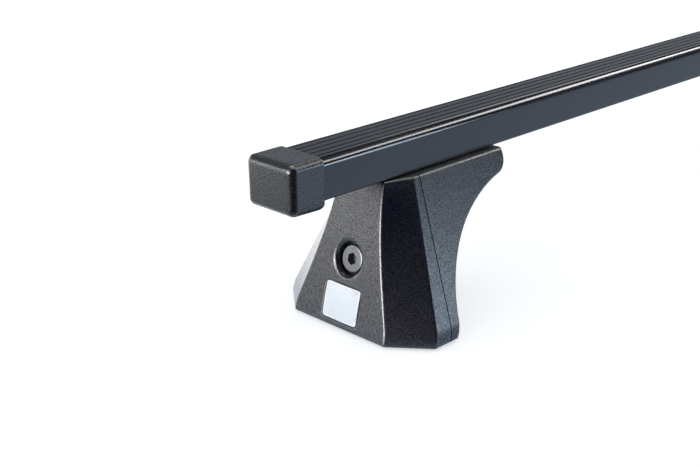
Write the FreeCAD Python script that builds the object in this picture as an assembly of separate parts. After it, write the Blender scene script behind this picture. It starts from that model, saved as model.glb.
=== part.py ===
import FreeCAD, Part
import math
import os

os.makedirs("parts", exist_ok=True)
Vec = FreeCAD.Vector

# A roof rack crossbar on two feet, in millimetres: X along the bar, Z up, the ground at Z = 0.
# Each foot is drawn with X = 0 at its front base edge and X growing inboard, then set at both ends.

# Bar: a steel tube in a ribbed plastic sheath
bar_length = 1180.0
bar_width = 32.0
bar_height = 22.0
bar_corners = [1.3, 5.0]                # radii of the long edges, below and on top
sheath_side = 1.2
sheath_top = 1.9
tube_wall = 1.5
tube_corner = 2.0
groove_places = [0.0, 5.2, 10.4, 13.6]  # grooves in the top, from the bar's middle to its side
groove_wide, groove_floor = 1.3, 0.6    # widths at the top and at the floor
groove_depth = 0.7
slot_width = 9.6                        # slot in the underside for the foot bolts
slot_margin = 6.0                       # slot left beyond the last bolt position

# End cap
cap_end = 2.5
cap_lap = 18.6                          # length of bar inside the cap
cap_side = 1.2                          # how far the cap stands out from the bar's sides
cap_top = 0.7
cap_skirt = 4.4                         # depth below the bar at the cap's mouth
cap_draft = 0.6                         # the skirt is this much shallower at the end
cap_radius = 4.0
cap_rib = 1.5
cap_skin = 1.4                          # bottom skin under the skirt's hollow
plug_wall = 1.8

# Foot: place on the bar and travel along it
foot_setback = 40.8                     # bar end to the front base edge
foot_in = 90.0
ground_gap = 1.0                        # the covers end this far above the ground
cover_height = 81.6                     # cover base to the bar's underside
slide_gap = 0.15                        # under the bar, where a foot slides on it
fit_gap = 0.3

# Covers: front face, chamfers and side faces
cover_wall = 2.5
face_lean = 0.25                        # inboard run of the front face per unit of height
face_base, face_top = 34.0, 16.4        # half widths of the front face
side_base, side_top = 55.3, 21.1        # half widths at the side faces
face_slope_low, face_slope_top = 0.325, 0.02
flank_skirt, flank_bend, flank_reach = 2.0, 4.0, 24.0
chamfer_run = 17.1                      # front face to the side faces, along X
edge_radius = 1.5
seam_top = 41.6                         # joint between the two covers, at the bar's underside
seam_lean = 0.153
seam_gap = 0.25
lip_length, lip_wall = 3.0, 1.3

# Inner cover: wing under the bar and its hollow back
wing_reach = 110.3
nose_radius, nose_flat = 10.1, 0.35     # the wing's rounded end, and its upright part below the top wall
heel_up, heel_x = 7.6, 38.0             # where the back curve starts, above the base
heel_angle, waist_angle, tip_angle = 79.0, 32.0, 12.0    # slopes of the back curve, from its heel to the wing
base_depth = 35.6

# Front face fittings, placed by the distance up the face
well_up = 38.9
well_bore = 17.9
well_rim = 2.6                          # radius of the rolled rim
well_collar = 2.0
badge_up = 14.45
badge_wide, badge_high, badge_corner = 26.0, 20.5, 2.0
badge_recess, badge_proud, badge_dome = 0.9, 0.7, 170.0

# Bracket: one bent strip with two cheeks
steel = 3.0
strap_half = 13.0
cheek_reach = 16.0
cheek_foot = 9.0
cheek_shoulder = 24.0
gusset_end = 62.0
strap_end = 31.0
bend_inner = 3.0
flange_end = 98.0
claw_low, claw_high, claw_half = 9.0, 24.0, 8.5

# Tension screw and carrier
thread = 8.0
pitch = 1.25
screw_turns = 5.0
head_across, head_tall, head_sink, head_round = 15.8, 6.7, 2.7, 1.3
pip_across, pip_tall, pip_out = 0.9, 0.3, 6.0    # index mark on the head
hex_socket, hex_deep = 6.0, 4.0
washer_across, washer_thick, washer_gap = 16.0, 1.6, 0.25
run_gap = 0.06
pass_gap = 0.5
stop_gap = 1.35                         # web to carrier when the screw is done up
carrier_long, carrier_up, carrier_down = 9.0, 8.0, 13.0
thread_proud = 0.8
claw_tap, claw_tap_deep = 5.0, 7.0

# Bolts to the bar
bolt_first, bolt_spacing = 49.0, 38.0
hex_bolt, hex_bolt_tall = 13.0, 5.3
nut_end, nut_wide, nut_thick = 12.0, 22.0, 5.0    # end: last bolt to the plate's end
bolt_proud = 1.0

# Sole: steel plate, rubber pad and their screws
pad_thick = 4.0
sole_thick = 2.5
pad_lip = 1.2
sole_front = 14.0
sole_inset = 4.5                        # inside the covers' outer surface
tread_wide, tread_deep, tread_pitch = 2.0, 0.8, 8.0
sole_screw, sole_screw_head, sole_screw_y = 6.0, 11.0, 7.0
sole_screw_x = 24.0
cover_screw, cover_screw_head, cover_screw_head_tall = 4.0, 7.6, 2.2
cover_screw_long = 14.0
boss_across, boss_tall = 8.0, 20.0
front_boss_x, front_boss_y = 19.0, 41.0
back_boss_x, back_boss_y = 27.0, 30.0

# Heights and derived places
base_z = ground_gap
bar_z = base_z + cover_height
bar_top_z = bar_z + bar_height
lean_length = math.hypot(1.0, face_lean)
lean_angle = math.degrees(math.atan(face_lean))
far = 400.0
flange_z = bar_z - steel
sole_z = pad_thick
strap_z = sole_z + sole_thick
washer_deep = head_sink + head_tall
web_deep = washer_deep + washer_thick
web_back = web_deep + steel
carrier_rest = web_back + stop_gap + pitch * screw_turns + carrier_long
screw_tip = carrier_rest + thread_proud
foot_x = -bar_length / 2 + foot_setback
bolt_places = [bolt_first, bolt_first + bolt_spacing]
nut_z = bar_z + sheath_side + tube_wall + slide_gap


def box(x, y, z, x_size, y_size, z_size):
    return Part.makeBox(x_size, y_size, z_size, Vec(x, y, z))


def slab(low, high):
    return box(low[0], low[1], low[2], high[0] - low[0], high[1] - low[1], high[2] - low[2])


def rod(radius, start, end):
    return Part.makeCylinder(radius, (end - start).Length, start, end - start)


def upright(radius, x, y, low, high):
    return Part.makeCylinder(radius, high - low, Vec(x, y, low))


def fuse(first, *others):
    return first.fuse(list(others)).removeSplitter()


def curve(poles):
    bezier = Part.BezierCurve()
    bezier.setPoles(poles)
    return bezier.toShape()


def line(start, end):
    return Part.LineSegment(start, end).toShape()


def face_of(edges):
    return Part.Face(Part.Wire(edges))


def plate(points, thick):
    """A flat plate of the outline's thickness, drawn in XY and grown upwards."""
    loop = Part.makePolygon(points + [points[0]])
    return Part.Face(loop).extrude(Vec(0, 0, thick))


def across(points, half):
    """A prism of an XZ outline, centred across the bar."""
    corners = [Vec(x, -half, z) for x, z in points]
    loop = Part.makePolygon(corners + [corners[0]])
    return Part.Face(loop).extrude(Vec(0, 2 * half, 0))


def rounded_plate(x_size, y_size, thick, radius):
    solid = box(-x_size / 2, -y_size / 2, 0, x_size, y_size, thick)
    return solid.makeFillet(radius, [e for e in solid.Edges if is_along(e, Vec(0, 0, 1))])


def is_along(edge, direction):
    ends = [v.Point for v in edge.Vertexes]
    if len(ends) < 2:
        return False
    return (ends[1] - ends[0]).cross(direction).Length < 1e-6


def middle(edge):
    return edge.valueAt((edge.FirstParameter + edge.LastParameter) / 2)


def edges_on(shape, test):
    """Edges whose ends and middle all pass the test."""
    return [e for e in shape.Edges if all(test(p) for p in [v.Point for v in e.Vertexes] + [middle(e)])]


def hexagon(across_flats, start, direction, length):
    """A hexagonal prism along any direction."""
    radius = across_flats / math.sqrt(3)
    corners = [Vec(radius * math.cos(a), radius * math.sin(a), 0) for a in
               [math.radians(60 * step) for step in range(6)]]
    prism = plate(corners, length)
    prism.Placement = FreeCAD.Placement(start, FreeCAD.Rotation(Vec(0, 0, 1), direction))
    return prism


def rounded_bar(width, low, high, radii, x_low, x_high):
    """A bar along X whose long edges have one radius below and another on top."""
    solid = box(x_low, -width / 2, low, x_high - x_low, width, high - low)
    for level, radius in zip((low, high), radii):
        solid = solid.makeFillet(radius, [e for e in solid.Edges if is_along(e, Vec(1, 0, 0))
                                          and abs(middle(e).z - level) < 1e-3])
    return solid


# Bar

def top_z(y):
    """Height of the bar's top: flat in the middle, falling over the rounded shoulders."""
    radius = bar_corners[1]
    reach = max(abs(y) - bar_width / 2 + radius, 0)
    return bar_top_z - radius + math.sqrt(radius ** 2 - reach ** 2)


def top_groove(y):
    """One groove of the top, cut along the whole bar."""
    high, low = top_z(y) + groove_depth, top_z(y) - groove_depth
    flare = groove_wide - groove_floor / 2
    outline = [Vec(-bar_length, y + step, z) for step, z in
               ((-groove_floor / 2, low), (groove_floor / 2, low), (flare, high), (-flare, high))]
    return Part.Face(Part.makePolygon(outline + [outline[0]])).extrude(Vec(2 * bar_length, 0, 0))


def tube_bounds(inset=0.0):
    half = bar_width / 2 - sheath_side - inset
    return half, bar_z + sheath_side + inset, bar_top_z - sheath_top - inset


def bar_slot():
    """Slots from both ends of the bar, long enough for the whole travel of the foot bolts."""
    length = foot_setback + bolt_places[-1] + foot_in + thread / 2 + slot_margin
    low, height = bar_z - 1, sheath_side + tube_wall + 2
    left = box(-bar_length / 2 - 1, -slot_width / 2, low, length + 1, slot_width, height)
    right = box(bar_length / 2 - length, -slot_width / 2, low, length + 1, slot_width, height)
    return left.fuse(right)


def tube_core():
    half, low, high = tube_bounds()
    return rounded_bar(2 * half, low, high, [tube_corner] * 2, -bar_length / 2, bar_length / 2)


def tube_bore(inset=0.0, x_low=-far * 2, x_high=far * 2):
    half, low, high = tube_bounds(tube_wall + inset)
    return rounded_bar(2 * half, low, high, [tube_corner - tube_wall / 2] * 2, x_low, x_high)


def bar_sheath():
    half = bar_length / 2
    skin = rounded_bar(bar_width, bar_z, bar_top_z, bar_corners, -half, half)
    places = sorted({side * y for y in groove_places for side in (-1, 1)})
    return skin.cut([top_groove(y) for y in places] + [tube_core(), bar_slot()])


def bar_tube():
    return tube_core().cut(tube_bore()).cut(bar_slot())


# End cap

def cap_block():
    """The cap's outside: a rounded block with a drafted skirt below the bar."""
    end_x, mouth_x = -bar_length / 2 - cap_end, -bar_length / 2 + cap_lap
    half = bar_width / 2 + cap_side
    top = bar_top_z + cap_top
    outline = [(end_x, top), (mouth_x, top), (mouth_x, bar_z - cap_skirt),
               (end_x, bar_z - cap_skirt + cap_draft)]
    solid = across(outline, half)
    rounded = [e for e in solid.Edges if middle(e).x < mouth_x - 1e-3]
    mouth_low = edges_on(solid, lambda p: abs(p.x - mouth_x) < 1e-3 and p.z < bar_z)
    return solid.makeFillet(cap_radius, rounded + mouth_low)


def end_cap():
    """Left cap: block, pocket for the bar, ribs under the bar and a hollow plug in the tube."""
    start, mouth = -bar_length / 2, -bar_length / 2 + cap_lap
    half = bar_width / 2
    pocket = rounded_bar(bar_width + 2 * run_gap, bar_z - run_gap, bar_top_z + run_gap,
                         [radius + run_gap for radius in bar_corners], start, mouth + 1)
    hollow_low = bar_z - cap_skirt + cap_draft + cap_skin
    hollow = box(start, -half + cap_rib, hollow_low, cap_lap + 1, bar_width - 2 * cap_rib,
                 bar_z - hollow_low)
    ribs = [box(start, y - cap_rib / 2, hollow_low, cap_lap, cap_rib, bar_z - run_gap - hollow_low)
            for y in (-half / 2, 0, half / 2)]
    plug = tube_bore(run_gap, start, mouth).cut(tube_bore(run_gap + plug_wall, start, mouth + 1))
    shell = cap_block().cut(pocket).cut(hollow.cut(Part.makeCompound(ribs)))
    return fuse(shell, plug)


# Covers

def face_x(z, deep=0.0):
    """X of the front face, or of a plane that lies deep behind it."""
    return (z - base_z) * face_lean + deep * lean_length


def side_x(z):
    return face_x(z) + chamfer_run


def seam_x(z, shift=0.0):
    return seam_top - (bar_z - z) * seam_lean + shift


def flank(place, half_base, half_top, slopes, side, low):
    """One side of a cross-section: a short skirt, a knee and a sweep up to the bar.

    A pair of slopes bends the sweep, and None leaves it straight."""
    skirt_z = base_z + flank_skirt
    sweep_z = skirt_z + 2 * flank_bend
    slope_low = slopes[0] if slopes else (half_base - half_top) / (bar_z - sweep_z + flank_bend)
    sweep_y = half_base - slope_low * flank_bend

    def point(y, z):
        return Vec(place(z), side * y, z)

    skirt = line(point(half_base, low), point(half_base, skirt_z))
    knee = curve([point(half_base, skirt_z), point(half_base, skirt_z + flank_bend), point(sweep_y, sweep_z)])
    if slopes is None:
        return [skirt, knee, line(point(sweep_y, sweep_z), point(half_top, bar_z))]
    sweep = curve([point(sweep_y, sweep_z), point(sweep_y - slope_low * flank_reach, sweep_z + flank_reach),
                   point(half_top + slopes[1] * flank_reach, bar_z - flank_reach), point(half_top, bar_z)])
    return [skirt, knee, sweep]


def section(place, form, inset=0.0, low=base_z):
    """A closed cross-section, standing on the surface where X = place(z)."""
    half_base, half_top, slopes = form[0] - inset, form[1] - inset, form[2]
    right = flank(place, half_base, half_top, slopes, 1, low)
    left = flank(place, half_base, half_top, slopes, -1, low)
    roof = line(Vec(place(bar_z), half_top, bar_z), Vec(place(bar_z), -half_top, bar_z))
    floor = line(Vec(place(low), -half_base, low), Vec(place(low), half_base, low))
    return Part.Wire([floor] + right + [roof] + left[::-1])


face_form = (face_base, face_top, (face_slope_low, face_slope_top))
side_form = (side_base, side_top, None)


def below_bar(height):
    return box(-far / 2, -far / 2, -far / 2, far, far, far / 2 + height)


def outer_block():
    """The outer cover before hollowing: front face, two chamfers and the strips beside the seam."""
    front = section(face_x, face_form)
    corner = section(side_x, side_form)
    rear = section(lambda z: seam_x(z, -seam_gap / 2), side_form)
    block = Part.makeLoft([front, corner, rear], True, True).removeSplitter()
    return round_outer(block.common(below_bar(bar_z - slide_gap)))


def round_outer(block):
    """Round the ridges, the chamfers' rear edges, the rim and the base, but not the seam."""
    top = bar_z - slide_gap

    def on_ends(p):
        return abs(p.z - top) < 1e-3 or abs(p.z - base_z) < 1e-3

    def on_front(p):
        return abs(p.x - face_x(p.z)) < 1e-3

    def on_corner(p):
        return abs(p.x - side_x(p.z)) < 1e-3

    def on_seam(p):
        return abs(p.x - seam_x(p.z, -seam_gap / 2)) < 1e-3

    ridges = [e for e in edges_on(block, on_front) if abs(middle(e).y) > face_top - 1]
    hips = [e for e in edges_on(block, on_corner) if abs(middle(e).y) > side_top - 1]
    rims = [e for e in edges_on(block, on_ends)
            if not any(all(test(v.Point) for v in e.Vertexes) for test in (on_seam, on_corner))]
    return block.makeFillet(edge_radius, ridges + hips + rims)


def outer_hollow():
    """Inside of the outer cover, open at the seam and at the base."""
    low = base_z - 2

    def front_place(z):
        return face_x(z, cover_wall)

    def corner_place(z):
        return side_x(z) + cover_wall / 3

    def seam_place(z):
        return seam_x(z, 2.0)

    front = section(front_place, face_form, cover_wall / 2, low)
    corner = section(corner_place, side_form, cover_wall, low)
    rear = section(seam_place, side_form, cover_wall, low)
    block = Part.makeLoft([front, corner, rear], True, True).removeSplitter()
    return block.common(below_bar(bar_z - cover_wall))


def face_frame():
    """Placement of the front face: local X runs up the face, local Z points out of it."""
    return FreeCAD.Placement(Vec(0, 0, base_z), FreeCAD.Rotation(Vec(0, 1, 0), lean_angle - 90))


def on_face(solid):
    """Set a solid drawn in the face's own frame on the leaning front face."""
    placed = solid.copy()
    placed.Placement = face_frame().multiply(placed.Placement)
    return placed


def well_rod(radius, deep_from, deep_to):
    return rod(radius, Vec(well_up, 0, -deep_from), Vec(well_up, 0, -deep_to))


def rolled_rim(radius, roll):
    """The material that rounding the well's mouth takes away."""
    ring = Part.makeTorus(radius + roll, roll, Vec(well_up, 0, -roll))
    return well_rod(radius + roll, 0, roll).cut(ring).fuse(well_rod(radius + roll, -1, 0))


def badge_blank(margin, low, high):
    solid = rounded_plate(badge_high + 2 * margin, badge_wide + 2 * margin, high - low,
                          badge_corner + margin)
    solid.translate(Vec(badge_up, 0, low))
    return solid


def flange_window():
    """Opening in the covers' tops round the bracket's flange."""
    half = strap_half + pass_gap
    front = face_x(flange_z, web_deep) - pass_gap
    return slab((front, -half, flange_z - pass_gap - cover_wall), (flange_end + pass_gap, half, bar_z + 1))


def boss(x, y, toward):
    """A screw boss, tied to the nearest wall by a web."""
    low, high = strap_z + fit_gap, strap_z + boss_tall
    post = upright(boss_across / 2, x, y, low, high)
    web = slab((min(x, toward[0]) - cover_wall / 2, min(y, toward[1]) - cover_wall / 2, low),
               (max(x, toward[0]) + cover_wall / 2, max(y, toward[1]) + cover_wall / 2, high))
    return post.fuse(web)


def screw_pilots(x, y):
    return upright(cover_screw / 2 + run_gap, x, y, base_z, sole_z + cover_screw_long + 1)


def outer_cover():
    outside = outer_block()
    collar = on_face(well_rod(well_bore / 2 + well_collar, cover_wall / 2, web_deep - fit_gap))
    posts = [boss(front_boss_x, side * front_boss_y, (front_boss_x, side * side_base))
             for side in (-1, 1)]
    posts = [p.common(outside) for p in posts]
    shell = outside.cut(outer_hollow()).fuse([collar] + posts)
    bore = on_face(well_rod(well_bore / 2, -1, web_deep))
    rim = on_face(rolled_rim(well_bore / 2, well_rim))
    recess = on_face(badge_blank(fit_gap, -badge_recess, 1))
    tools = [bore, rim, recess, flange_window()]
    tools += [screw_pilots(front_boss_x, side * front_boss_y) for side in (-1, 1)]
    return shell.cut(tools)


def turn_step(start_angle, end_angle):
    """How far a curve of radius 1 goes while its slope turns from one angle to the other."""
    start, end = math.radians(start_angle), math.radians(end_angle)
    return Vec(math.sin(end) - math.sin(start), 0, math.cos(start) - math.cos(end))


def back_radii(heel, tip):
    """Radii of the two tangent arcs that join the heel to the wing; both bend away from the wing."""
    low, high = turn_step(heel_angle, waist_angle), turn_step(waist_angle, tip_angle)
    gap = tip - heel
    scale = low.x * high.z - high.x * low.z
    return (gap.x * high.z - high.x * gap.z) / scale, (low.x * gap.z - gap.x * low.z) / scale


def wing_outline(seam_shift, half, inset=0.0):
    """Side view of the inner cover: heel, hollow back, nose of the wing, top, seam and base."""
    top = bar_z - slide_gap - inset
    low = base_z - (2 if inset else 0)
    heel = Vec(heel_x, 0, base_z + heel_up)
    nose_step = turn_step(tip_angle, 90) * nose_radius
    nose = Vec(wing_reach, 0, bar_z - slide_gap - cover_wall - nose_flat)
    radii = back_radii(heel, nose - nose_step) + (nose_radius,)
    slopes = (heel_angle, waist_angle, tip_angle, 90)
    tilt = math.radians(heel_angle)
    place = Vec(heel_x - inset * math.sin(tilt), -half, heel.z + inset * math.cos(tilt))
    edges, start = [], place
    for radius, first, last in zip(radii, slopes, slopes[1:]):
        half_way = start + turn_step(first, (first + last) / 2) * (radius - inset)
        end = start + turn_step(first, last) * (radius - inset)
        edges.append(Part.Arc(start, half_way, end).toShape())
        start = end
    corners = [start, Vec(start.x, -half, top), Vec(seam_x(top, seam_shift), -half, top),
               Vec(seam_x(low, seam_shift), -half, low), Vec(base_depth - inset, -half, low), place]
    return edges + [line(a, b) for a, b in zip(corners, corners[1:])]


def side_prism(inset=0.0):
    """Both side faces carried along the bar."""
    low = base_z - (2 if inset else 0)
    loop = section(lambda z: -far / 4, side_form, inset, low)
    return Part.Face(loop).extrude(Vec(far, 0, 0))


def wing_prism(seam_shift, inset=0.0):
    prism = face_of(wing_outline(seam_shift, far / 4, inset)).extrude(Vec(0, far / 2, 0))
    return prism.common(side_prism(inset)).removeSplitter()


def round_inner(block):
    """Round every outside edge, but not the seam."""

    def on_seam(p):
        return abs(p.x - seam_x(p.z, seam_gap / 2)) < 1e-3

    side_edges = [e for e in block.Edges if abs(middle(e).y) > side_top / 2 and not on_seam(middle(e))]
    return block.makeFillet(edge_radius, side_edges)


def seam_band(start, end, low, high):
    """The space between two planes beside the seam."""
    return across([(seam_x(low, start), low), (seam_x(low, end), low),
                   (seam_x(high, end), high), (seam_x(high, start), high)], far / 4)


def seam_lip():
    """Tongue along the inner cover's sides that reaches inside the outer cover."""
    low, high = strap_z + fit_gap, bar_z - cover_wall - 1.0
    outer, inner = cover_wall + fit_gap, cover_wall + fit_gap + lip_wall
    tongue = side_prism(outer).cut(side_prism(inner)).common(seam_band(-lip_length, seam_gap, low, high))
    root = side_prism(cover_wall / 2).cut(side_prism(inner))
    return tongue.fuse(root.common(seam_band(seam_gap, lip_length, low, high)))


def inner_cover():
    outside = round_inner(wing_prism(seam_gap / 2))
    shell = outside.cut(wing_prism(-lip_length * 2, cover_wall))
    room = wing_prism(-boss_across * 2)
    posts = [boss(back_boss_x, side * back_boss_y, (base_depth, side * back_boss_y)).common(room)
             for side in (-1, 1)]
    solid = shell.fuse([seam_lip()] + posts)
    tools = [flange_window()] + [screw_pilots(back_boss_x, side * back_boss_y) for side in (-1, 1)]
    return solid.cut(tools)


def badge_plate():
    """Blank badge: a plate with a domed front, set in the outer cover's recess."""
    blank = on_face(badge_blank(0, -badge_recess, badge_proud + 1))
    dome = on_face(Part.makeSphere(badge_dome, Vec(badge_up, 0, badge_proud - badge_dome)))
    return blank.common(dome)


# Bracket

def bracket_outline():
    return [(strap_end, strap_z), (face_x(strap_z, web_deep), strap_z), (face_x(bar_z, web_deep), bar_z),
            (flange_end, bar_z), (flange_end, flange_z), (face_x(flange_z, web_back), flange_z),
            (face_x(strap_z + steel, web_back), strap_z + steel), (strap_end, strap_z + steel)]


def bend(solid, corners, radius):
    """Round the edges across the strip at the given XZ corners."""
    chosen = [e for e in solid.Edges
              if any(abs(middle(e).x - x) + abs(middle(e).z - z) < 1e-3 for x, z in corners)]
    return solid.makeFillet(radius, chosen)


def cheek(side):
    """Side plate from the base flange up to a gusset under the bar flange."""
    low, high = strap_z + steel / 2, flange_z + steel / 2
    waist = strap_z + steel + cheek_foot
    shoulder = bar_z - cheek_shoulder
    points = [(face_x(low, web_back - steel / 2), low), (strap_end, low),
              (strap_end, strap_z + steel + 1), (face_x(waist, web_back + cheek_reach), waist),
              (face_x(shoulder, web_back + cheek_reach), shoulder),
              (gusset_end, flange_z - 1), (gusset_end, high), (face_x(high, web_back - steel / 2), high)]
    plate_solid = across(points, steel / 2)
    plate_solid.translate(Vec(0, side * (strap_half - steel / 2), 0))
    return plate_solid


def bracket():
    corners = bracket_outline()
    strip = across(corners, strap_half)
    strip = bend(strip, [corners[1], corners[2]], bend_inner + steel)
    strip = bend(strip, [corners[5], corners[6]], bend_inner)
    ends = [e for e in strip.Edges if is_along(e, Vec(0, 0, 1)) and middle(e).x > flange_end - 1]
    strip = strip.makeFillet(strap_half / 3, ends)
    solid = fuse(strip, cheek(-1), cheek(1))
    claw_window = on_face(slab((claw_low, -claw_half, -web_back - 1), (claw_high, claw_half, -web_deep + 1)))
    holes = [on_face(well_rod(thread / 2 + pass_gap, web_deep - 1, web_back + 1)), claw_window]
    holes += [upright(thread / 2 + pass_gap, x, 0, flange_z - 1, bar_z + 1) for x in bolt_places]
    holes += [upright(sole_screw / 2 + run_gap, sole_screw_x, side * sole_screw_y, strap_z - 1,
                      strap_z + steel + 1) for side in (-1, 1)]
    return solid.cut(holes)


# Tension screw, its washer and the carrier for the vehicle's own clamp

def tension_screw():
    head = well_rod(head_across / 2, head_sink, washer_deep)
    top = [e for e in head.Edges if abs(middle(e).z + head_sink) < 1e-3]
    head = head.makeFillet(head_round, top)
    pip = rod(pip_across / 2, Vec(well_up + pip_out, 0, -head_sink - pip_tall),
              Vec(well_up + pip_out, 0, -head_sink + pip_tall))
    shank = well_rod(thread / 2, washer_deep, screw_tip)
    tip = [e for e in shank.Edges if abs(middle(e).z + screw_tip) < 1e-3]
    shank = shank.makeChamfer(pitch / 2, tip)
    socket = hexagon(hex_socket, Vec(well_up, 0, -head_sink - hex_deep), Vec(0, 0, 1), hex_deep + 1)
    return on_face(fuse(head, shank, pip).cut(socket))


def screw_washer():
    ring = well_rod(washer_across / 2, washer_deep, web_deep)
    return on_face(ring.cut(well_rod(thread / 2 + washer_gap, washer_deep - 1, web_deep + 1)))


def clamp_carrier():
    """Threaded block that runs along the screw between the bracket's cheeks."""
    half = strap_half - steel - fit_gap
    block = slab((well_up - carrier_down, -half, -carrier_rest),
                 (well_up + carrier_up, half, -carrier_rest + carrier_long))
    block = block.makeChamfer(1.0, [e for e in block.Edges if is_along(e, Vec(0, 0, 1))])
    middle_deep = carrier_rest - carrier_long / 2
    mouth = Vec(well_up - carrier_down, 0, -middle_deep)
    claw_hole = rod(claw_tap / 2, mouth - Vec(1, 0, 0), mouth + Vec(claw_tap_deep, 0, 0))
    bore = well_rod(thread / 2 + run_gap, carrier_rest - carrier_long - 1, carrier_rest + 1)
    return on_face(block.cut([bore, claw_hole]))


# Bolts to the bar

def nut_plate():
    length = bolt_spacing + 2 * nut_end
    blank = rounded_plate(length, nut_wide, nut_thick, nut_end / 3)
    blank.translate(Vec(bolt_first + bolt_spacing / 2, 0, nut_z))
    return blank.cut([upright(thread / 2 + run_gap, x, 0, nut_z - 1, nut_z + nut_thick + 1)
                      for x in bolt_places])


def bar_bolt(x):
    under_head = flange_z - washer_thick
    head = hexagon(hex_bolt, Vec(x, 0, under_head - hex_bolt_tall), Vec(0, 0, 1), hex_bolt_tall)
    return fuse(head, upright(thread / 2, x, 0, under_head, nut_z + nut_thick + bolt_proud))


def bar_washer(x):
    low = flange_z - washer_thick
    ring = upright(washer_across / 2, x, 0, low, flange_z)
    return ring.cut(upright(thread / 2 + washer_gap, x, 0, low - 1, flange_z + 1))


# Sole

def sole_outline(inset, front):
    """Plan of the base, kept inside the covers: front edge, chamfers, sides and back."""
    spread = (side_base - face_base) / chamfer_run
    shift = inset * math.hypot(1, spread)
    side = side_base - inset
    lean = face_x(strap_z)
    corner = lean + (side - face_base + shift) / spread
    half = [(front, face_base + spread * (front - lean) - shift), (corner, side),
            (base_depth - inset, side)]
    return [Vec(x, y, 0) for x, y in half] + [Vec(x, -y, 0) for x, y in half[::-1]]


def raised(points, low, high):
    solid = plate(points, high - low)
    solid.translate(Vec(0, 0, low))
    return solid


def cover_screw_places():
    return [(x, side * y) for x, y in ((front_boss_x, front_boss_y), (back_boss_x, back_boss_y))
            for side in (-1, 1)]


def sole_screw_cone(x, y, gap):
    cone = Part.makeCone(sole_screw_head / 2 + gap, sole_screw / 2 + gap, sole_thick, Vec(x, y, sole_z))
    return cone


def sole_plate():
    solid = raised(sole_outline(sole_inset, sole_front), sole_z, strap_z)
    holes = [upright(cover_screw / 2 + fit_gap, x, y, sole_z - 1, strap_z + 1)
             for x, y in cover_screw_places()]
    holes += [sole_screw_cone(sole_screw_x, side * sole_screw_y, run_gap) for side in (-1, 1)]
    return solid.cut(holes)


def base_pad():
    """Rubber pad with a lip round the sole plate and a grooved tread."""
    solid = raised(sole_outline(sole_inset - pad_lip, sole_front - pad_lip), 0, strap_z - fit_gap)
    solid = solid.makeFillet(pad_lip, [e for e in solid.Edges if is_along(e, Vec(0, 0, 1))])
    seat = raised(sole_outline(sole_inset - run_gap, sole_front - run_gap), sole_z, strap_z + 1)
    pockets = [upright(cover_screw_head / 2 + fit_gap, x, y, sole_z - cover_screw_head_tall - fit_gap,
                       sole_z + 1) for x, y in cover_screw_places()]
    count = int((side_base - sole_inset) / tread_pitch - 0.5)
    grooves = [box(0, (step + 0.5) * tread_pitch - tread_wide / 2, -1, base_depth, tread_wide,
                   1 + tread_deep) for step in range(-count - 1, count + 1)]
    return solid.cut([seat] + pockets + grooves)


def cover_screw_solid(x, y):
    low = sole_z - cover_screw_head_tall
    head = Part.makeCone(cover_screw, cover_screw_head / 2, cover_screw_head_tall / 2, Vec(x, y, low))
    rim = upright(cover_screw_head / 2, x, y, low + cover_screw_head_tall / 2, sole_z)
    return fuse(head, rim, upright(cover_screw / 2, x, y, sole_z, sole_z + cover_screw_long))


def sole_screw_solid(y):
    shank = upright(sole_screw / 2, sole_screw_x, y, strap_z, strap_z + steel + pitch)
    return fuse(sole_screw_cone(sole_screw_x, y, 0), shank)


def group(solids):
    return Part.makeCompound(solids)


def foot_parts():
    """Every piece of one foot, in the foot's own frame."""
    return {
        "outer_cover": outer_cover(),
        "inner_cover": inner_cover(),
        "badge_plate": badge_plate(),
        "bracket": bracket(),
        "tension_screw": tension_screw(),
        "screw_washer": screw_washer(),
        "clamp_carrier": clamp_carrier(),
        "nut_plate": nut_plate(),
        "bar_bolts": group([bar_bolt(x) for x in bolt_places]),
        "bar_washers": group([bar_washer(x) for x in bolt_places]),
        "sole_plate": sole_plate(),
        "sole_screws": group([sole_screw_solid(side * sole_screw_y) for side in (-1, 1)]),
        "cover_screws": group([cover_screw_solid(x, y) for x, y in cover_screw_places()]),
        "base_pad": base_pad(),
    }


def turned(shape):
    """The same piece at the other end of the bar."""
    copy = shape.copy()
    copy.rotate(Vec(0, 0, 0), Vec(0, 0, 1), 180)
    return copy


def rack_parts():
    parts = {"bar_tube": bar_tube(), "bar_sheath": bar_sheath()}
    ends = {"end_cap": end_cap()}
    for name, shape in foot_parts().items():
        shape.translate(Vec(foot_x, 0, 0))
        ends[name] = shape
    for name, shape in ends.items():
        parts["left_" + name] = shape
        parts["right_" + name] = turned(shape)
    return parts


for name, shape in rack_parts().items():
    shape.exportStep("parts/" + name + ".step")
    print(name, len(shape.Solids), len(shape.Faces), round(shape.Volume, 1))
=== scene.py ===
import bpy
import math
from mathutils import Matrix, Vector

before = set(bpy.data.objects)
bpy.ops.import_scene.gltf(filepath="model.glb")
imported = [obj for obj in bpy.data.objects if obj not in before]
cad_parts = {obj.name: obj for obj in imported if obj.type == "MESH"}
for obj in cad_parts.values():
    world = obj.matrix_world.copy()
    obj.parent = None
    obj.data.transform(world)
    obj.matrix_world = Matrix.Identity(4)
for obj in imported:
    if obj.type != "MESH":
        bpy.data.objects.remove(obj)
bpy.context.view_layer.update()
print("rack loaded:", len(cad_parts), "nodes")


# Small helpers for node trees

def addNode(tree, kind, place=(0, 0), **fields):
    node = tree.nodes.new(kind)
    node.location = place
    for name, value in fields.items():
        setattr(node, name, value)
    return node


def setInput(node, name, value):
    node.inputs[name].default_value = value


def wire(tree, source, target):
    tree.links.new(source, target)


def mathNode(tree, operation, first, second, place=(0, 0), clamp=False):
    node = addNode(tree, "ShaderNodeMath", place, operation=operation, use_clamp=clamp)
    for socket, value in zip(node.inputs, (first, second)):
        if isinstance(value, (int, float)):
            socket.default_value = value
        elif value is not None:
            wire(tree, value, socket)
    return node.outputs[0]


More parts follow.
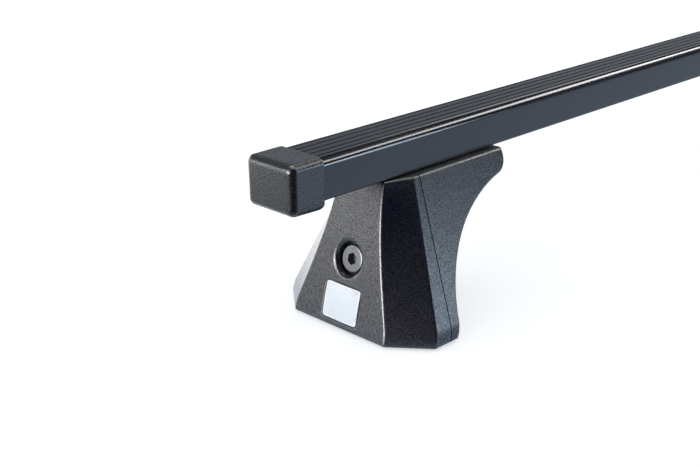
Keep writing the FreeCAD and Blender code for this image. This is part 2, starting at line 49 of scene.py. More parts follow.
def spread(tree, value, fromLow, fromHigh, toLow, toHigh, place=(0, 0)):
    node = addNode(tree, "ShaderNodeMapRange", place)
    wire(tree, value, node.inputs["Value"])
    for name, number in (("From Min", fromLow), ("From Max", fromHigh), ("To Min", toLow), ("To Max", toHigh)):
        setInput(node, name, number)
    return node.outputs["Result"]


def blendColours(tree, factor, first, second, place=(0, 0)):
    node = addNode(tree, "ShaderNodeMix", place, data_type="RGBA")
    wire(tree, factor, node.inputs[0])
    for socket, value in ((node.inputs[6], first), (node.inputs[7], second)):
        if isinstance(value, tuple):
            socket.default_value = (*value, 1.0)
        else:
            wire(tree, value, socket)
    return node.outputs[2]


# the first normal where factor is 0, the second where it is 1
def blendNormals(tree, factor, first, second, place):
    node = addNode(tree, "ShaderNodeMix", place, data_type="VECTOR")
    for socket, value in ((node.inputs[0], factor), (node.inputs[4], first), (node.inputs[5], second)):
        wire(tree, value, socket)
    return node.outputs[1]


def startGroup(name, inputs, outputs):
    tree = bpy.data.node_groups.new(name, "ShaderNodeTree")
    for label, value in inputs:
        socket = tree.interface.new_socket(name=label, in_out="INPUT", socket_type="NodeSocketFloat")
        socket.default_value = value
    for label, kind in outputs:
        tree.interface.new_socket(name=label, in_out="OUTPUT", socket_type=kind)
    return tree, addNode(tree, "NodeGroupInput", (-900, 0)), addNode(tree, "NodeGroupOutput", (700, 0))


def placeGroup(tree, group, place=(-600, 0), **values):
    node = addNode(tree, "ShaderNodeGroup", place, node_tree=group)
    for name, value in values.items():
        setInput(node, name.replace("_", " "), value)
    return node


# Spark-eroded mould grain: shallow pits of one size with a tooth over them
grainForm = {"smoothness": 0.6, "pitHeight": 0.8, "toothScale": 1.15, "detail": 1.5, "roughness": 0.5,
             "speckleLow": 0.36, "speckleHigh": 0.64}


def mouldGrainGroup(form):
    tree, given, result = startGroup("mouldGrain", [("Cell mm", 0.5), ("Tooth", 0.4)],
                                     [("Height", "NodeSocketFloat"), ("Speckle", "NodeSocketFloat")])
    coords = addNode(tree, "ShaderNodeTexCoord", (-900, 260))
    perMetre = mathNode(tree, "DIVIDE", 1000.0, given.outputs["Cell mm"], (-720, 60))
    pits = addNode(tree, "ShaderNodeTexVoronoi", (-500, 260), feature="SMOOTH_F1")
    setInput(pits, "Smoothness", form["smoothness"])
    tooth = addNode(tree, "ShaderNodeTexNoise", (-500, -40))
    setInput(tooth, "Detail", form["detail"])
    setInput(tooth, "Roughness", form["roughness"])
    for node in (pits, tooth):
        wire(tree, coords.outputs["Object"], node.inputs["Vector"])
    wire(tree, perMetre, pits.inputs["Scale"])
    wire(tree, mathNode(tree, "MULTIPLY", perMetre, form["toothScale"], (-660, -60)), tooth.inputs["Scale"])
    coarse = mathNode(tree, "MULTIPLY", pits.outputs["Distance"], form["pitHeight"], (-280, 200))
    fine = mathNode(tree, "MULTIPLY", tooth.outputs["Fac"], given.outputs["Tooth"], (-280, 0))
    wire(tree, mathNode(tree, "ADD", coarse, fine, (-80, 120)), result.inputs["Height"])
    speckle = spread(tree, tooth.outputs["Fac"], form["speckleLow"], form["speckleHigh"], 0.0, 1.0, (-80, -80))
    wire(tree, speckle, result.inputs["Speckle"])
    return tree


# Polished edges, where hands and cloths rub: convex places, where short rays inside the wall come out again
edgeForm = {"rays": 6, "flat": 1.0, "sharp": 0.8, "wornScale": 160.0, "wornDetail": 4.0}


def rubbedEdgeGroup(form):
    tree, given, result = startGroup("rubbedEdge", [("Reach mm", 1.0), ("Breakup", 0.4)],
                                     [("Mask", "NodeSocketFloat")])
    inward = addNode(tree, "ShaderNodeAmbientOcclusion", (-560, 200), samples=form["rays"], inside=True,
                     only_local=True)
    wire(tree, mathNode(tree, "DIVIDE", given.outputs["Reach mm"], 1000.0, (-740, 160)), inward.inputs["Distance"])
    edge = spread(tree, inward.outputs["AO"], form["flat"], form["sharp"], 0.0, 1.0, (-180, 140))
    coords = addNode(tree, "ShaderNodeTexCoord", (-900, -240))
    worn = addNode(tree, "ShaderNodeTexNoise", (-560, -260))
    setInput(worn, "Scale", form["wornScale"])
    setInput(worn, "Detail", form["wornDetail"])
    wire(tree, coords.outputs["Object"], worn.inputs["Vector"])
    lost = mathNode(tree, "MULTIPLY", worn.outputs["Fac"], given.outputs["Breakup"], (-360, -240))
    kept = mathNode(tree, "SUBTRACT", 1.0, lost, (-180, -240))
    wire(tree, mathNode(tree, "MULTIPLY", edge, kept, (60, 60), clamp=True), result.inputs["Mask"])
    return tree


# Streaks that run along the bar, as an extrusion die leaves them
streakForm = {"detail": 3.0, "low": 0.3, "high": 0.7}


def drawLineGroup(form):
    tree, given, result = startGroup("drawLines", [("Spacing mm", 0.6), ("Length ratio", 60.0)],
                                     [("Lines", "NodeSocketFloat")])
    coords = addNode(tree, "ShaderNodeTexCoord", (-900, 260))
    perMetre = mathNode(tree, "DIVIDE", 1000.0, given.outputs["Spacing mm"], (-720, 60))
    along = mathNode(tree, "DIVIDE", perMetre, given.outputs["Length ratio"], (-560, -40))
    stretch = addNode(tree, "ShaderNodeCombineXYZ", (-380, 60))
    wire(tree, along, stretch.inputs["X"])
    wire(tree, perMetre, stretch.inputs["Y"])
    wire(tree, perMetre, stretch.inputs["Z"])
    scaled = addNode(tree, "ShaderNodeVectorMath", (-200, 200), operation="MULTIPLY")
    wire(tree, coords.outputs["Object"], scaled.inputs[0])
    wire(tree, stretch.outputs[0], scaled.inputs[1])
    streak = addNode(tree, "ShaderNodeTexNoise", (0, 200))
    setInput(streak, "Scale", 1.0)
    setInput(streak, "Detail", form["detail"])
    wire(tree, scaled.outputs[0], streak.inputs["Vector"])
    lines = spread(tree, streak.outputs["Fac"], form["low"], form["high"], 0.0, 1.0, (240, 160))
    wire(tree, lines, result.inputs["Lines"])
    return tree


# Slow changes over a surface: handling, dust film, uneven plating
cloudForm = {"detail": 5.0, "roughness": 0.55, "low": 0.3, "high": 0.7}


def cloudGroup(form):
    tree, given, result = startGroup("surfaceCloud", [("Size mm", 30.0)], [("Cloud", "NodeSocketFloat")])
    coords = addNode(tree, "ShaderNodeTexCoord", (-700, 200))
    cloud = addNode(tree, "ShaderNodeTexNoise", (-300, 160))
    setInput(cloud, "Detail", form["detail"])
    setInput(cloud, "Roughness", form["roughness"])
    wire(tree, coords.outputs["Object"], cloud.inputs["Vector"])
    wire(tree, mathNode(tree, "DIVIDE", 1000.0, given.outputs["Size mm"], (-500, 0)), cloud.inputs["Scale"])
    even = spread(tree, cloud.outputs["Fac"], form["low"], form["high"], 0.0, 1.0, (0, 120))
    wire(tree, even, result.inputs["Cloud"])
    return tree


mouldGrain = mouldGrainGroup(grainForm)
rubbedEdge = rubbedEdgeGroup(edgeForm)
drawLines = drawLineGroup(streakForm)
surfaceCloud = cloudGroup(cloudForm)
print("surface effects ready")


def startMaterial(name):
    material = bpy.data.materials.new(name)
    material.use_nodes = True
    tree = material.node_tree
    tree.nodes.clear()
    shader = addNode(tree, "ShaderNodeBsdfPrincipled", (400, 0))
    wire(tree, shader.outputs[0], addNode(tree, "ShaderNodeOutputMaterial", (700, 0)).inputs["Surface"])
    return material, tree, shader


# a value between two others, by a mask that runs from 0 to 1
def between(tree, mask, low, high, place=(-400, -240)):
    return spread(tree, mask, 0.0, 1.0, low, high, place)


def bumpFrom(tree, height, distance, shader, strength=1.0, under=None, place=(120, -300)):
    bump = addNode(tree, "ShaderNodeBump", place)
    if isinstance(strength, float):
        setInput(bump, "Strength", strength)
    else:
        wire(tree, strength, bump.inputs["Strength"])
    setInput(bump, "Distance", distance)
    wire(tree, height, bump.inputs["Height"])
    if under is not None:
        wire(tree, under, bump.inputs["Normal"])
    wire(tree, bump.outputs["Normal"], shader.inputs["Normal"])
    return bump.outputs["Normal"]


# What the moulded covers and the end caps share: a spark-eroded grain and edges that are rubbed smooth
mouldedLook = {"rubbed": (0.014, 0.0155, 0.019), "cellMm": 0.9, "tooth": 0.9, "roughLow": 0.28, "roughHigh": 0.31,
               "pitRough": 0.06, "coatLow": 0.0, "coatRough": 0.3, "edgeReachMm": 1.4, "edgeBreakup": 0.35,
               "edgePolish": 0.16, "edgeFlatFrom": 0.7, "edgeFlatBy": 0.3, "bevelRays": 8}

# Moulded covers of the feet: near-black plastic, with a dark joint between the two of them. The seam's lengths are
# in metres from the bar's middle and from the floor, and say where the part's solids meet.
coverLook = {**mouldedLook, "body": (0.001, 0.0013, 0.0032), "fleck": (0.006, 0.007, 0.012), "bumpDepth": 0.00011,
             "specular": 0.33, "coatHigh": 0.78, "edgeCoat": 0.9, "softEdge": 0.0016, "cloudMm": 24.0,
             "seamAt": 0.5076, "seamTop": 0.0826, "seamLean": 0.153, "seamHalf": 0.0005, "seamDepth": 0.0004,
             "seamClearFrom": 0.001, "seamClearBy": 0.0024, "seamDarkIn": 0.5, "seamDarkBy": 0.75, "seamRough": 0.7}


# distance in metres from the joint between the two covers of a foot, the same at both ends of the bar
def seamOffset(tree, look):
    coords = addNode(tree, "ShaderNodeTexCoord", (-1900, -600))
    parts = addNode(tree, "ShaderNodeSeparateXYZ", (-1740, -600))
    wire(tree, coords.outputs["Object"], parts.inputs[0])
    away = mathNode(tree, "ABSOLUTE", parts.outputs["X"], None, (-1580, -540))
    below = mathNode(tree, "SUBTRACT", look["seamTop"], parts.outputs["Z"], (-1580, -680))
    leant = mathNode(tree, "MULTIPLY", below, look["seamLean"], (-1420, -680))
    line = mathNode(tree, "ADD", look["seamAt"], leant, (-1260, -640))
    return mathNode(tree, "ABSOLUTE", mathNode(tree, "SUBTRACT", away, line, (-1100, -580)), None, (-940, -580))


def makeMouldedPlastic(look, name):
    material, tree, shader = startMaterial(name)
    hasSeam = "seamAt" in look
    grain = placeGroup(tree, mouldGrain, (-900, 0), Cell_mm=look["cellMm"], Tooth=look["tooth"])
    edge = placeGroup(tree, rubbedEdge, (-900, 260), Reach_mm=look["edgeReachMm"], Breakup=look["edgeBreakup"])
    cloud = placeGroup(tree, surfaceCloud, (-900, -260), Size_mm=look["cloudMm"])
    softened = addNode(tree, "ShaderNodeBevel", (-700, -480), samples=look["bevelRays"])
    setInput(softened, "Radius", look["softEdge"])
    mask, normal = edge.outputs["Mask"], softened.outputs["Normal"]
    if hasSeam:
        fromSeam = seamOffset(tree, look)
        clear = spread(tree, fromSeam, look["seamClearFrom"], look["seamClearBy"], 0.0, 1.0, (-700, 300))
        mask = mathNode(tree, "MULTIPLY", mask, clear, (-540, 260))
        own = addNode(tree, "ShaderNodeNewGeometry", (-700, -640))
        normal = blendNormals(tree, clear, own.outputs["Normal"], normal, (-500, -520))
    speckle = grain.outputs["Speckle"]
    flecks = blendColours(tree, speckle, look["body"], look["fleck"], (-420, 100))
    wire(tree, blendColours(tree, mask, flecks, look["rubbed"], (-160, 160)), shader.inputs["Base Color"])
    rough = between(tree, cloud.outputs["Cloud"], look["roughLow"], look["roughHigh"])
    pitted = mathNode(tree, "MULTIPLY", speckle, look["pitRough"], (-400, -60))
    polished = mathNode(tree, "MULTIPLY", mask, look["edgePolish"], (-400, -140))
    rough = mathNode(tree, "SUBTRACT", mathNode(tree, "ADD", rough, pitted, (-240, -80)), polished, (-80, -160))
    satin = between(tree, speckle, look["coatLow"], look["coatHigh"], (-160, -20))
    shine = mathNode(tree, "MULTIPLY", mask, look["edgeCoat"], (-400, -20))
    satin = mathNode(tree, "ADD", satin, shine, (0, 0), clamp=True)
    flatter = spread(tree, mask, 0.0, look["edgeFlatFrom"], 1.0, look["edgeFlatBy"], (-160, -320))
    relief = bumpFrom(tree, grain.outputs["Height"], look["bumpDepth"], shader, flatter, normal)
    if hasSeam:
        groove = spread(tree, fromSeam, 0.0, look["seamHalf"], 0.0, 1.0, (-300, -640))
        bumpFrom(tree, groove, look["seamDepth"], shader, under=relief, place=(120, -520))
        dark = (look["seamDarkIn"], look["seamDarkBy"])
        satin = mathNode(tree, "MULTIPLY", satin, spread(tree, groove, *dark, 0.0, 1.0, (-80, 20)), (60, 20))
        rough = mathNode(tree, "ADD", rough, spread(tree, groove, *dark, look["seamRough"], 0.0, (-80, -80)),
                         (60, -80), clamp=True)
    wire(tree, rough, shader.inputs["Roughness"])
    wire(tree, satin, shader.inputs["Coat Weight"])
    setInput(shader, "Coat Roughness", look["coatRough"])
    setInput(shader, "Specular IOR Level", look["specular"])
    return material


# End caps: the same plastic, a little paler
capLook = {**mouldedLook, "body": (0.003, 0.0034, 0.0052), "fleck": (0.011, 0.012, 0.015), "bumpDepth": 0.0001,
           "specular": 0.35, "coatHigh": 0.76, "edgeCoat": 0.15, "softEdge": 0.0011, "cloudMm": 16.0}


# Sheath of the bar: satin extruded plastic, drawn lengthwise
sheathLook = {"body": (0.005, 0.006, 0.008), "streak": (0.01, 0.0115, 0.0145), "rubbed": (0.022, 0.024, 0.028),
              "spacingMm": 0.7, "lengthRatio": 120.0, "cloudMm": 60.0, "edgeReachMm": 0.8, "edgeBreakup": 0.5,
              "roughLow": 0.13, "roughHigh": 0.18, "streakRough": 0.05, "specular": 0.5, "bumpDepth": 0.0000008}


def makeSheathPlastic(look):
    material, tree, shader = startMaterial("sheathPlastic")
    lines = placeGroup(tree, drawLines, (-700, 60), Spacing_mm=look["spacingMm"], Length_ratio=look["lengthRatio"])
    cloud = placeGroup(tree, surfaceCloud, (-700, -220), Size_mm=look["cloudMm"])
    edge = placeGroup(tree, rubbedEdge, (-700, 300), Reach_mm=look["edgeReachMm"], Breakup=look["edgeBreakup"])
    colour = blendColours(tree, lines.outputs["Lines"], look["body"], look["streak"], (-400, 80))
    colour = blendColours(tree, edge.outputs["Mask"], colour, look["rubbed"], (-160, 160))
    wire(tree, colour, shader.inputs["Base Color"])
    rough = between(tree, cloud.outputs["Cloud"], look["roughLow"], look["roughHigh"])
    combed = mathNode(tree, "MULTIPLY", lines.outputs["Lines"], look["streakRough"], (-400, -60))
    wire(tree, mathNode(tree, "ADD", rough, combed, (-160, -140)), shader.inputs["Roughness"])
    setInput(shader, "Specular IOR Level", look["specular"])
    bumpFrom(tree, lines.outputs["Lines"], look["bumpDepth"], shader)
    return material


# Plated and bare steel pieces: what they share, and a dictionary for each
steelLook = {"metallic": 1.0, "specular": 0.5, "tooth": 0.5, "edgeReachMm": 0.6, "edgeBreakup": 0.5, "edgeLift": 1.25}
zincLook = {**steelLook, "name": "zincPlate", "bright": (0.62, 0.63, 0.64), "dull": (0.44, 0.45, 0.47),
            "roughLow": 0.28, "roughHigh": 0.46, "cellMm": 1.6, "bumpDepth": 0.00002, "cloudMm": 9.0}
tubeLook = {**steelLook, "name": "galvanisedTube", "bright": (0.58, 0.59, 0.61), "dull": (0.42, 0.43, 0.45),
            "roughLow": 0.3, "roughHigh": 0.5, "cellMm": 3.0, "bumpDepth": 0.00003, "cloudMm": 14.0}
boltLook = {**steelLook, "name": "boltSteel", "bright": (0.66, 0.66, 0.67), "dull": (0.48, 0.48, 0.5),
            "roughLow": 0.22, "roughHigh": 0.38, "cellMm": 0.8, "bumpDepth": 0.00001, "cloudMm": 5.0}
screwLook = {**steelLook, "name": "blackedScrew", "bright": (0.034, 0.037, 0.047), "dull": (0.024, 0.026, 0.033),
             "roughLow": 0.3, "roughHigh": 0.38, "cellMm": 0.5, "bumpDepth": 0.00002, "cloudMm": 4.0,
             "metallic": 0.0, "specular": 1.0}


def makeSteel(look):
    material, tree, shader = startMaterial(look["name"])
    grain = placeGroup(tree, mouldGrain, (-700, 0), Cell_mm=look["cellMm"], Tooth=look["tooth"])
    cloud = placeGroup(tree, surfaceCloud, (-700, -240), Size_mm=look["cloudMm"])
    edge = placeGroup(tree, rubbedEdge, (-700, 260), Reach_mm=look["edgeReachMm"], Breakup=look["edgeBreakup"])
    plated = blendColours(tree, cloud.outputs["Cloud"], look["dull"], look["bright"], (-400, 60))
    lifted = tuple(min(1.0, look["edgeLift"] * channel) for channel in look["bright"])
    wire(tree, blendColours(tree, edge.outputs["Mask"], plated, lifted, (-160, 140)), shader.inputs["Base Color"])
    wire(tree, between(tree, grain.outputs["Speckle"], look["roughLow"], look["roughHigh"]),
         shader.inputs["Roughness"])
    setInput(shader, "Metallic", look["metallic"])
    setInput(shader, "Specular IOR Level", look["specular"])
    bumpFrom(tree, grain.outputs["Height"], look["bumpDepth"], shader)
    return material


# Badge plate: pale lacquer, with a painted highlight in a band along the rim where the bevel catches light, and a
# dark band at the outline that is a printed border with the painted shadow of the gap around the plate. The rim's and
# edge's bounds are millimetres in from the outline, and the plate's own sizes are in metres.
badgeLook = {"face": (0.8, 0.828, 0.85), "faceFar": (0.75, 0.785, 0.815), "rim": (0.88, 0.89, 0.9),
             "edge": (0.012, 0.013, 0.016), "silvered": 0.24, "cloudMm": 12.0, "roughLow": 0.26, "roughHigh": 0.34,
             "ripple": 0.000004, "rippleMm": 7.0, "rimFrom": 1.0, "rimBy": 1.5, "edgeFrom": 0.3, "edgeBy": 0.5,
             "lean": 0.25, "frontAt": 0.5492, "base": 0.001, "middle": 0.01445,
             "halfWide": 0.013, "halfHigh": 0.01025, "corner": 0.002}


# depth in from the badge's outline, in millimetres
def badgeInset(tree, look):
    coords = addNode(tree, "ShaderNodeTexCoord", (-1900, 500))
    parts = addNode(tree, "ShaderNodeSeparateXYZ", (-1740, 500))
    wire(tree, coords.outputs["Object"], parts.inputs[0])
    length = math.hypot(1.0, look["lean"])
    away = mathNode(tree, "ABSOLUTE", parts.outputs["X"], None, (-1580, 620))
    leant = mathNode(tree, "MULTIPLY", mathNode(tree, "SUBTRACT", look["frontAt"], away, (-1420, 620)),
                     look["lean"] / length, (-1260, 620))
    risen = mathNode(tree, "MULTIPLY", mathNode(tree, "SUBTRACT", parts.outputs["Z"], look["base"], (-1420, 460)),
                     1.0 / length, (-1260, 460))
    up = mathNode(tree, "SUBTRACT", mathNode(tree, "ADD", leant, risen, (-1100, 540)), look["middle"], (-940, 540))
    beyondHigh = mathNode(tree, "SUBTRACT", mathNode(tree, "ABSOLUTE", up, None, (-780, 540)),
                          look["halfHigh"] - look["corner"], (-620, 540))
    beyondWide = mathNode(tree, "SUBTRACT", mathNode(tree, "ABSOLUTE", parts.outputs["Y"], None, (-780, 700)),
                          look["halfWide"] - look["corner"], (-620, 700))
    outer = addNode(tree, "ShaderNodeCombineXYZ", (-460, 760))
    wire(tree, mathNode(tree, "MAXIMUM", beyondWide, 0.0, (-540, 800)), outer.inputs["X"])
    wire(tree, mathNode(tree, "MAXIMUM", beyondHigh, 0.0, (-540, 860)), outer.inputs["Y"])
    reach = addNode(tree, "ShaderNodeVectorMath", (-300, 760), operation="LENGTH")
    wire(tree, outer.outputs[0], reach.inputs[0])
    within = mathNode(tree, "MINIMUM", mathNode(tree, "MAXIMUM", beyondWide, beyondHigh, (-460, 600)), 0.0,
                      (-300, 600))
    outside = mathNode(tree, "ADD", reach.outputs["Value"], within, (-140, 680))
    return mathNode(tree, "MULTIPLY", mathNode(tree, "SUBTRACT", look["corner"], outside, (20, 680)), 1000.0,
                    (180, 680))


# the flat front's normal where inFace is 1, so that the dome mirrors evenly, and the mesh's own at the edge
def faceNormal(tree, look, inFace):
    coords = addNode(tree, "ShaderNodeTexCoord", (-1500, -600))
    parts = addNode(tree, "ShaderNodeSeparateXYZ", (-1320, -600))
    wire(tree, coords.outputs["Object"], parts.inputs[0])
    length = math.hypot(1.0, look["lean"])
    side = mathNode(tree, "SIGN", parts.outputs["X"], None, (-1240, -520))
    plain = addNode(tree, "ShaderNodeCombineXYZ", (-960, -600))
    wire(tree, mathNode(tree, "MULTIPLY", side, 1.0 / length, (-1100, -520)), plain.inputs["X"])
    setInput(plain, "Z", look["lean"] / length)
    own = addNode(tree, "ShaderNodeNewGeometry", (-960, -760))
    blended = blendNormals(tree, inFace, own.outputs["Normal"], plain.outputs[0], (-700, -600))
    unit = addNode(tree, "ShaderNodeVectorMath", (-500, -600), operation="NORMALIZE")
    wire(tree, blended, unit.inputs[0])
    return unit.outputs[0]


def makeBadgeLacquer(look):
    material, tree, shader = startMaterial("badgeLacquer")
    cloud = placeGroup(tree, surfaceCloud, (-700, -60), Size_mm=look["cloudMm"])
    inset = badgeInset(tree, look)
    lacquer = blendColours(tree, cloud.outputs["Cloud"], look["face"], look["faceFar"], (-400, -40))
    # painted highlight: the band along the rim is paler to stand in for light caught by the plate's bevel
    inRimHighlight = spread(tree, inset, look["rimFrom"], look["rimBy"], 0.0, 1.0, (-240, -120))
    rimmed = blendColours(tree, inRimHighlight, look["rim"], lacquer, (-60, -40))
    # dark band at the outline: a printed border together with the painted shadow of the gap around the plate
    inFace = spread(tree, inset, look["edgeFrom"], look["edgeBy"], 0.0, 1.0, (-60, 60))
    wire(tree, blendColours(tree, inFace, look["edge"], rimmed, (200, 120)), shader.inputs["Base Color"])
    wire(tree, between(tree, cloud.outputs["Cloud"], look["roughLow"], look["roughHigh"]),
         shader.inputs["Roughness"])
    wire(tree, mathNode(tree, "MULTIPLY", inFace, look["silvered"], (200, -60)), shader.inputs["Metallic"])
    ripple = placeGroup(tree, surfaceCloud, (-700, -420), Size_mm=look["rippleMm"])
    bumpFrom(tree, ripple.outputs["Cloud"], look["ripple"], shader, under=faceNormal(tree, look, inFace))
    return material


# Rubber pads under the feet
rubberLook = {"body": (0.018, 0.018, 0.019), "bloom": (0.05, 0.05, 0.052), "cellMm": 0.9, "tooth": 0.7,
              "cloudMm": 15.0, "roughLow": 0.72, "roughHigh": 0.88, "bumpDepth": 0.00006}


def makeRubber(look):
    material, tree, shader = startMaterial("padRubber")
    grain = placeGroup(tree, mouldGrain, (-700, 0), Cell_mm=look["cellMm"], Tooth=look["tooth"])
    cloud = placeGroup(tree, surfaceCloud, (-700, -240), Size_mm=look["cloudMm"])
    wire(tree, blendColours(tree, cloud.outputs["Cloud"], look["body"], look["bloom"], (-300, 60)),
         shader.inputs["Base Color"])
    wire(tree, between(tree, grain.outputs["Speckle"], look["roughLow"], look["roughHigh"]),
         shader.inputs["Roughness"])
    bumpFrom(tree, grain.outputs["Height"], look["bumpDepth"], shader)
    return material


coverPlastic = makeMouldedPlastic(coverLook, "coverPlastic")
capPlastic = makeMouldedPlastic(capLook, "capPlastic")
sheathPlastic = makeSheathPlastic(sheathLook)
zincPlate = makeSteel(zincLook)
galvanised = makeSteel(tubeLook)
boltSteel = makeSteel(boltLook)
blackedScrew = makeSteel(screwLook)
badgeLacquer = makeBadgeLacquer(badgeLook)
padRubber = makeRubber(rubberLook)
print("materials ready")

# Which finish each piece of the rack wears
finishes = {"bar_tube": galvanised, "bar_sheath": sheathPlastic, "end_cap": capPlastic, "outer_cover": coverPlastic,
            "inner_cover": coverPlastic, "badge_plate": badgeLacquer, "bracket": zincPlate,
            "tension_screw": blackedScrew, "screw_washer": zincPlate, "clamp_carrier": zincPlate,
            "nut_plate": zincPlate, "bar_bolts": boltSteel, "bar_washers": zincPlate, "sole_plate": zincPlate,
            "sole_screws": boltSteel, "cover_screws": boltSteel, "base_pad": padRubber}


def dressNode(name, piece):
    kind = name.removeprefix("left_").removeprefix("right_")
    piece.data.materials.clear()
    piece.data.materials.append(finishes[kind])


for nodeName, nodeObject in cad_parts.items():
    dressNode(nodeName, nodeObject)
print("nodes dressed")


# Studio floor: pale to the camera, dark on the front side for diffuse light, and with a glow of its own for each
# of the rack's faces that mirrors it. From and By are the bounds in metres, across the bar (behind, far) and
# along it (right, beside), between which one glow fades into the next.
floorLook = {"half": 6.0, "roughness": 0.9, "pale": (0.8, 0.8, 0.8), "dark": (0.02, 0.02, 0.024),
             "seenGlow": (0.57, 0.57, 0.57), "nearGlow": (0.86, 1.06, 1.32), "rightGlow": (0.38, 0.46, 0.53),
             "backGlow": (0.46, 0.5, 0.54), "farGlow": (2.2, 2.25, 2.35), "besideGlow": (2.1, 2.14, 2.2),
             "way": (-0.8, -0.6, 0.0), "darkFrom": 0.53, "darkBy": 0.6, "behindFrom": 0.0, "behindBy": 0.14,
             "farFrom": 0.17, "farBy": 0.42, "rightFrom": -0.4, "rightBy": 0.8,
             "besideFrom": -0.68, "besideBy": -0.52}


# how far a place or direction lies on the studio's dark front side, 0 to 1; way is the level direction to it
def frontShare(tree, vector, way, low, high, place):
    reach = addNode(tree, "ShaderNodeVectorMath", place, operation="DOT_PRODUCT")
    wire(tree, vector, reach.inputs[0])
    reach.inputs[1].default_value = way
    return spread(tree, reach.outputs["Value"], low, high, 0.0, 1.0, (place[0] + 180, place[1]))


# what the rack's gloss sees in the floor, by place: beyond holds the place's coordinates, and behind runs from 0 to 1
# across the bar
def floorGloss(tree, look, beyond, behind):
    far = spread(tree, beyond.outputs["Y"], look["farFrom"], look["farBy"], 0.0, 1.0, (-500, -560))
    right = spread(tree, beyond.outputs["X"], look["rightFrom"], look["rightBy"], 0.0, 1.0, (-500, -700))
    beside = spread(tree, beyond.outputs["X"], look["besideFrom"], look["besideBy"], 0.0, 1.0, (-500, -840))
    front = blendColours(tree, right, look["nearGlow"], look["rightGlow"], (-300, -640))
    back = blendColours(tree, beside, look["backGlow"], look["besideGlow"], (-300, -780))
    back = blendColours(tree, far, back, look["farGlow"], (-300, -500))
    return blendColours(tree, behind, front, back, (-120, -400))


def makeFloor(look):
    mesh = bpy.data.meshes.new("studioFloor")
    half = look["half"]
    corners = [(-half, -half, 0), (half, -half, 0), (half, half, 0), (-half, half, 0)]
    mesh.from_pydata(corners, [], [(0, 1, 2, 3)])
    floor = bpy.data.objects.new("studioFloor", mesh)
    bpy.context.collection.objects.link(floor)
    material, tree, shader = startMaterial("floorPaper")
    setInput(shader, "Roughness", look["roughness"])
    setInput(shader, "Specular IOR Level", 0.0)
    seen = addNode(tree, "ShaderNodeLightPath", (-900, -200))
    where = addNode(tree, "ShaderNodeNewGeometry", (-900, 200))
    beyond = addNode(tree, "ShaderNodeSeparateXYZ", (-700, -380))
    wire(tree, where.outputs["Position"], beyond.inputs[0])
    behind = spread(tree, beyond.outputs["Y"], look["behindFrom"], look["behindBy"], 0.0, 1.0, (-500, -420))
    ahead = frontShare(tree, where.outputs["Position"], look["way"], look["darkFrom"], look["darkBy"], (-700, 200))
    front = mathNode(tree, "MULTIPLY", ahead, mathNode(tree, "SUBTRACT", 1.0, behind, (-360, 260)), (-360, 200))
    mirrored = mathNode(tree, "MAXIMUM", seen.outputs["Is Glossy Ray"], seen.outputs["Is Transmission Ray"],
                        (-500, -240))
    notSeen = mathNode(tree, "SUBTRACT", 1.0, seen.outputs["Is Camera Ray"], (-500, 0))
    hidden = mathNode(tree, "MULTIPLY", mathNode(tree, "MAXIMUM", front, mirrored, (-400, 120)), notSeen, (-300, 60))
    wire(tree, blendColours(tree, hidden, look["pale"], look["dark"], (0, 200)), shader.inputs["Base Color"])
    gloss = floorGloss(tree, look, beyond, behind)
    wire(tree, blendColours(tree, seen.outputs["Is Camera Ray"], gloss, look["seenGlow"], (60, -360)),
         shader.inputs["Emission Color"])
    notFront = mathNode(tree, "SUBTRACT", 1.0, front, (-300, -100))
    glossOnly = mathNode(tree, "MULTIPLY", mirrored, notFront, (-120, -200))
    wire(tree, mathNode(tree, "MAXIMUM", seen.outputs["Is Camera Ray"], glossOnly, (60, -200)),
         shader.inputs["Emission Strength"])
    mesh.materials.append(material)


# Lamps: where each stands, how large and how strong. Each aims at the near foot where it has no aim of its own,
# and the gloss-only ones draw lines along the bar without lighting the floor.
lampLooks = {
    "overheadStrip": {"place": (1.85, -0.42, 1.36), "size": (2.7, 0.58), "watts": 64.0, "colour": (1.0, 0.98, 0.95),
                      "aim": (1.75, -0.3, 0.0), "glossOnly": True},
    "leftBackLamp": {"place": (-2.1, 1.5, 0.46), "size": (0.9, 0.6), "watts": 9.5, "colour": (0.96, 0.97, 1.0)},
    "leftStrip": {"place": (-2.08, 0.21, 0.41), "size": (0.8, 0.78), "watts": 62.0, "colour": (0.99, 0.99, 1.0),
                  "glossOnly": True},
    "rightWindow": {"place": (0.68, -1.58, 0.24), "size": (0.7, 0.38), "watts": 1.6, "colour": (0.3, 0.58, 1.0)},
    "rightStrip": {"place": (0.26, -0.9, 0.2), "size": (0.28, 0.21), "watts": 2.55, "colour": (0.74, 0.88, 1.0),
                   "aim": (-0.5, 0.0, 0.1), "glossOnly": True},
    "overheadSoft": {"place": (1.85, 0.42, 1.38), "size": (2.7, 1.05), "watts": 12.0, "colour": (1.0, 0.99, 0.97),
                     "aim": (1.75, 0.4, 0.0), "glossOnly": True},
    "topPanel": {"place": (-0.35, 0.0, 1.3), "size": (1.3, 1.0), "watts": 19.0, "colour": (1.0, 0.98, 0.95),
                 "glossOnly": True},
    "backPanel": {"place": (-0.78, 1.3, 0.26), "size": (0.9, 0.4), "watts": 5.0, "colour": (1.0, 1.0, 1.0),
                  "glossOnly": True},
}
lampTarget = Vector((-0.5, 0.0, 0.06))


def makeLamp(name, look):
    light = bpy.data.lights.new(name, "AREA")
    light.shape = "RECTANGLE"
    light.size, light.size_y = look["size"]
    light.energy = look["watts"]
    light.color = look["colour"]
    lamp = bpy.data.objects.new(name, light)
    lamp.location = look["place"]
    lamp.visible_camera = False
    lamp.visible_diffuse = not look.get("glossOnly", False)
    aim = Vector(look.get("aim", lampTarget))
    lamp.rotation_euler = (aim - lamp.location).to_track_quat("-Z", "Y").to_euler()
    bpy.context.collection.objects.link(lamp)


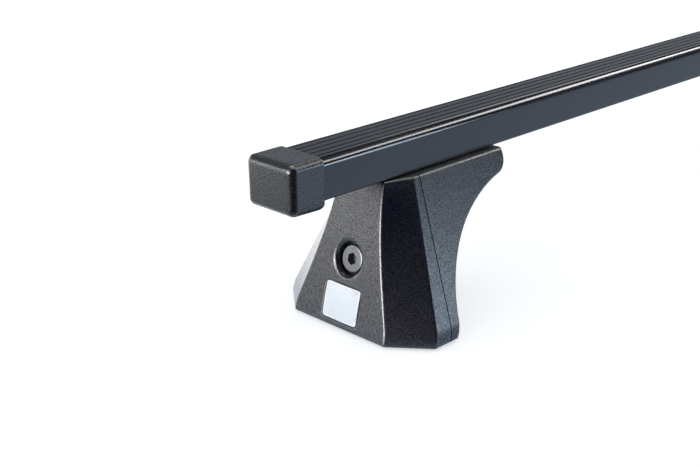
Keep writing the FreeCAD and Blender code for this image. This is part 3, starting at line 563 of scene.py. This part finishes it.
# Surround: plain is what lights the rack, mirrored what its gloss shows, pale behind it and dark in front
surroundLook = {"plain": (0.62, 0.64, 0.68), "seen": (1.0, 1.0, 1.0), "mirroredBack": (0.29, 0.32, 0.355),
                "mirroredFront": (0.025, 0.032, 0.13), "way": (-0.2, -0.98, 0.0), "frontFrom": 0.0, "frontBy": 0.5}


def makeSurround(look):
    world = bpy.data.worlds.new("studioSurround")
    bpy.context.scene.world = world
    world.use_nodes = True
    tree = world.node_tree
    tree.nodes.clear()
    seen = addNode(tree, "ShaderNodeLightPath", (-900, 200))
    way = addNode(tree, "ShaderNodeTexCoord", (-900, -100))
    front = frontShare(tree, way.outputs["Generated"], look["way"], look["frontFrom"], look["frontBy"], (-700, -100))
    mirrored = mathNode(tree, "MAXIMUM", seen.outputs["Is Glossy Ray"], seen.outputs["Is Transmission Ray"],
                        (-500, 200))
    gloss = blendColours(tree, front, look["mirroredBack"], look["mirroredFront"], (-300, 0))
    indirect = blendColours(tree, mirrored, look["plain"], gloss, (-100, 100))
    shown = blendColours(tree, seen.outputs["Is Camera Ray"], indirect, look["seen"], (80, 200))
    background = addNode(tree, "ShaderNodeBackground", (260, 100))
    wire(tree, shown, background.inputs["Color"])
    wire(tree, background.outputs[0], addNode(tree, "ShaderNodeOutputWorld", (460, 100)).inputs["Surface"])


makeFloor(floorLook)
for lampName, lampLook in lampLooks.items():
    makeLamp(lampName, lampLook)
makeSurround(surroundLook)
print("studio ready")

# Camera at the photograph's angle
shot = {"place": (-0.9294, -0.4065, 0.2674), "azimuth": -43.90, "elevation": 20.83, "roll": -1.10, "lens": 58.94,
        "sensor": 36.0, "clip": 0.01}


def makeCamera(look):
    azimuth, elevation, roll = [math.radians(look[k]) for k in ("azimuth", "elevation", "roll")]
    back = Vector((math.sin(azimuth) * math.cos(elevation), -math.cos(azimuth) * math.cos(elevation),
                   math.sin(elevation)))
    level = (-back).cross(Vector((0, 0, 1))).normalized()
    down = (-back).cross(level)
    right = math.cos(roll) * level - math.sin(roll) * down
    down = math.sin(roll) * level + math.cos(roll) * down
    turn = Matrix((right, -down, back)).transposed()
    lens = bpy.data.cameras.new("photoCamera")
    lens.sensor_width = look["sensor"]
    lens.lens = look["lens"]
    lens.clip_start = look["clip"]
    camera = bpy.data.objects.new("photoCamera", lens)
    camera.matrix_world = Matrix.Translation(look["place"]) @ turn.to_4x4()
    bpy.context.collection.objects.link(camera)
    bpy.context.scene.camera = camera


makeCamera(shot)
bpy.context.scene.view_settings.view_transform = "Standard"
print("camera set")
